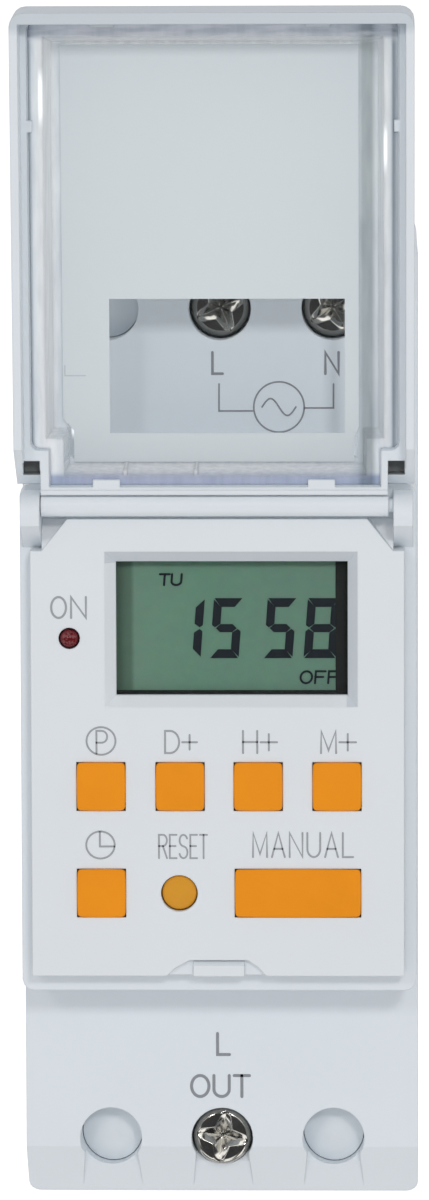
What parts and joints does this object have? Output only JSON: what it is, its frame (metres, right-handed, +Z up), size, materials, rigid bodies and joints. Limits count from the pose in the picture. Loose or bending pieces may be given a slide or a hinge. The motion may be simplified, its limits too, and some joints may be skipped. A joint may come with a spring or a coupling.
{
  "type": "din rail timer",
  "caption": "Two-module programmable time switch for a DIN rail, with a display, orange keys, screw terminals and a hinged clear cover shown open.",
  "frame": {"origin": "middle of the 35 mm rail, on the plane where the housing rests on the rail's front face", "axes": "+X right seen from the front, +Y towards the rail and wall, +Z up"},
  "size_m": [0.0352, 0.0684, 0.1073],
  "materials": {
    "housing": "pale cool grey moulded plastic, light satin",
    "panel": "fine-textured grey",
    "clip": "moulded acetal",
    "clear_plastic": "clear polycarbonate",
    "label": "printed plastic sheet",
    "key": "orange keys",
    "silicone": "translucent silicone",
    "lcd_glass": "display glass, grey-green",
    "reflector": "satin film",
    "zebra": "striped conductive rubber",
    "led": "dark red tinted epoxy",
    "pcb": "green solder resist",
    "black_moulding": "black moulding compound",
    "steel": "nickel-plated steel",
    "ribbon": "grey flat cable",
    "film": "yellow box film capacitor",
    "can": "sleeved aluminium can",
    "blue_coat": "blue epoxy coat",
    "ceramic": "beige ceramic",
    "relay_plastic": "dark relay case",
    "winding": "enamelled copper wire",
    "contact_copper": "copper alloy strip",
    "cage_metal": "plated brass"
  },
  "bodies": {
    "housing": {"main_housing": "housing", "rear_base": "housing", "front_panel": "panel", "keypad_mat": "silicone", "lcd_front_glass": "lcd_glass", "lcd_rear_glass": "lcd_glass", "lcd_reflector": "reflector", "lcd_zebra_strip": "zebra", "status_led": "led", "control_board": "pcb", "power_board": "pcb", "microcontroller": "black_moulding", "ribbon_header_control": "black_moulding", "ribbon_header_power": "black_moulding", "relay_driver": "black_moulding", "flyback_diode": "black_moulding", "bridge_rectifier": "black_moulding", "clock_crystal": "steel", "backup_battery": "steel", "board_screw_1": "steel", "board_screw_2": "steel", "board_screw_3": "steel", "relay_yoke": "steel", "ribbon_cable": "ribbon", "dropper_capacitor": "film", "filter_capacitor": "can", "varistor": "blue_coat", "fuse_resistor": "ceramic", "zener_diode": "ceramic", "relay_base": "relay_plastic", "relay_case": "relay_plastic", "relay_coil": "winding", "relay_fixed_contact": "contact_copper", "terminal_bar_live_in": "contact_copper", "terminal_bar_neutral_in": "contact_copper", "terminal_bar_live_out": "contact_copper"},
    "cover": {"cover_frame": "housing", "cover_window": "clear_plastic", "cover_label": "label"},
    "clip": {"rail_clip": "clip"},
    "armature": {"relay_armature": "steel"},
    "key_program_body": {"key_program": "key"},
    "key_day_body": {"key_day": "key"},
    "key_hour_body": {"key_hour": "key"},
    "key_minute_body": {"key_minute": "key"},
    "key_clock_body": {"key_clock": "key"},
    "key_manual_body": {"key_manual": "key"},
    "key_reset_body": {"key_reset": "key"},
    "screw_live_in": {"terminal_screw_live_in": "steel"},
    "cage_live_in": {"terminal_cage_live_in": "cage_metal"},
    "screw_neutral_in": {"terminal_screw_neutral_in": "steel"},
    "cage_neutral_in": {"terminal_cage_neutral_in": "cage_metal"},
    "screw_live_out": {"terminal_screw_live_out": "steel"},
    "cage_live_out": {"terminal_cage_live_out": "cage_metal"}
  },
  "joints": [
    {"name": "cover_hinge", "type": "hinge", "parent": "housing", "child": "cover", "pos_m": [-0.00012, -0.0562, 0.0209], "axis": [1, 0, 0], "range_deg": [-3, 174.5]},
    {"name": "key_program_press", "type": "slide", "parent": "housing", "child": "key_program_body", "axis": [0, 1, 0], "range_m": [0, 0.0008]},
    {"name": "key_day_press", "type": "slide", "parent": "housing", "child": "key_day_body", "axis": [0, 1, 0], "range_m": [0, 0.0008]},
    {"name": "key_hour_press", "type": "slide", "parent": "housing", "child": "key_hour_body", "axis": [0, 1, 0], "range_m": [0, 0.0008]},
    {"name": "key_minute_press", "type": "slide", "parent": "housing", "child": "key_minute_body", "axis": [0, 1, 0], "range_m": [0, 0.0008]},
    {"name": "key_clock_press", "type": "slide", "parent": "housing", "child": "key_clock_body", "axis": [0, 1, 0], "range_m": [0, 0.0008]},
    {"name": "key_manual_press", "type": "slide", "parent": "housing", "child": "key_manual_body", "axis": [0, 1, 0], "range_m": [0, 0.0008]},
    {"name": "key_reset_press", "type": "slide", "parent": "housing", "child": "key_reset_body", "axis": [0, 1, 0], "range_m": [0, 0.0008]},
    {"name": "rail_clip_slide", "type": "slide", "parent": "housing", "child": "clip", "axis": [0, 0, -1], "range_m": [0, 0.0035]},
    {"name": "armature_hinge", "type": "hinge", "parent": "housing", "child": "armature", "pos_m": [-0.0067, -0.0249, -0.0033], "axis": [1, 0, 0], "range_deg": [0, 3.4]},
    {"name": "screw_live_in_turn", "type": "hinge", "parent": "housing", "child": "screw_live_in", "pos_m": [0, -0.035, 0.0373], "axis": [0, 1, 0], "range_deg": [0, 1621]},
    {"name": "cage_live_in_rise", "type": "slide", "parent": "housing", "child": "cage_live_in", "axis": [0, -1, 0], "range_m": [0, 0.0027]},
    {"name": "screw_neutral_in_turn", "type": "hinge", "parent": "housing", "child": "screw_neutral_in", "pos_m": [0.01, -0.035, 0.0373], "axis": [0, 1, 0], "range_deg": [0, 1621]},
    {"name": "cage_neutral_in_rise", "type": "slide", "parent": "housing", "child": "cage_neutral_in", "axis": [0, -1, 0], "range_m": [0, 0.0027]},
    {"name": "screw_live_out_turn", "type": "hinge", "parent": "housing", "child": "screw_live_out", "pos_m": [0, -0.035, -0.0373], "axis": [0, 1, 0], "range_deg": [0, 1621]},
    {"name": "cage_live_out_rise", "type": "slide", "parent": "housing", "child": "cage_live_out", "axis": [0, -1, 0], "range_m": [0, 0.0027]}
  ],
  "couplings": [
    {"joint": "screw_live_in_turn", "follows": "cage_live_in_rise", "rad_per_m": 10472},
    {"joint": "screw_neutral_in_turn", "follows": "cage_neutral_in_rise", "rad_per_m": 10472},
    {"joint": "screw_live_out_turn", "follows": "cage_live_out_rise", "rad_per_m": 10472}
  ]
}
